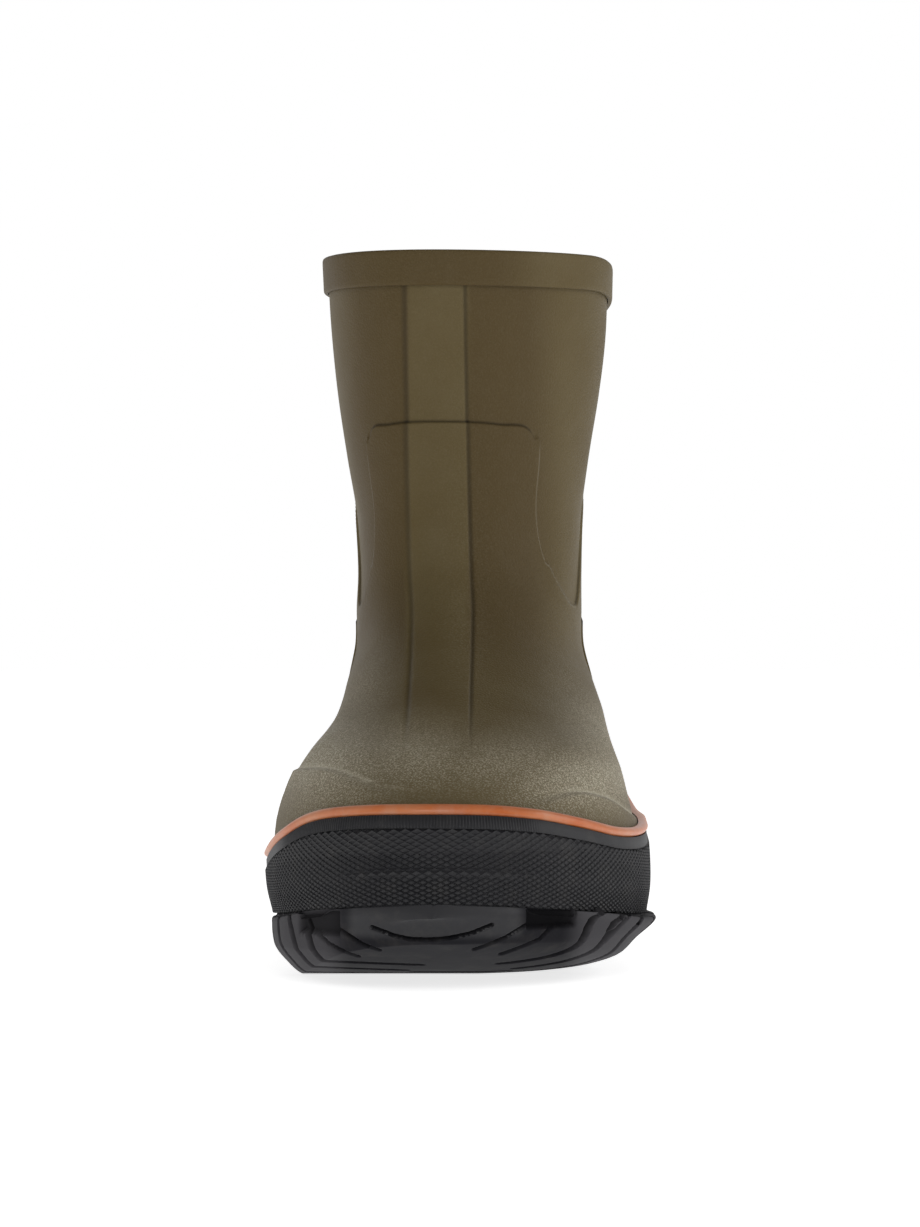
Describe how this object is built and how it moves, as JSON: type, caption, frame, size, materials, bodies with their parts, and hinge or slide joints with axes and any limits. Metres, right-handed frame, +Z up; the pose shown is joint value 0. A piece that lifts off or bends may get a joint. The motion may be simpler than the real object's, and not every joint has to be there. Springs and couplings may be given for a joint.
{
  "type": "ankle-high rubber boot",
  "caption": "Left ankle-high rubber boot: hollow olive upper with collar band and heel counter, orange piping, black rand and lugged outsole.",
  "frame": {"origin": "on the ground plane, under the middle of the boot's length and width", "axes": "+Z up, the toe points to -Y, -X is the inner (big toe) side and +X the outer side"},
  "size_m": [0.1176, 0.3037, 0.223],
  "materials": {
    "olive_rubber": "soft satin, fine pebbled skin",
    "orange_rubber": "smooth satin",
    "black_rubber": "matt with a fine raised diamond grid",
    "black_outsole": "smooth moulded rubber, slightly glossy",
    "insole_cloth": "dark brushed cloth"
  },
  "bodies": {
    "root": {"upper": "olive_rubber", "collar_band": "olive_rubber", "heel_counter": "olive_rubber", "piping": "orange_rubber", "rand": "black_rubber", "outsole": "black_outsole", "insole": "insole_cloth"}
  },
  "joints": []
}
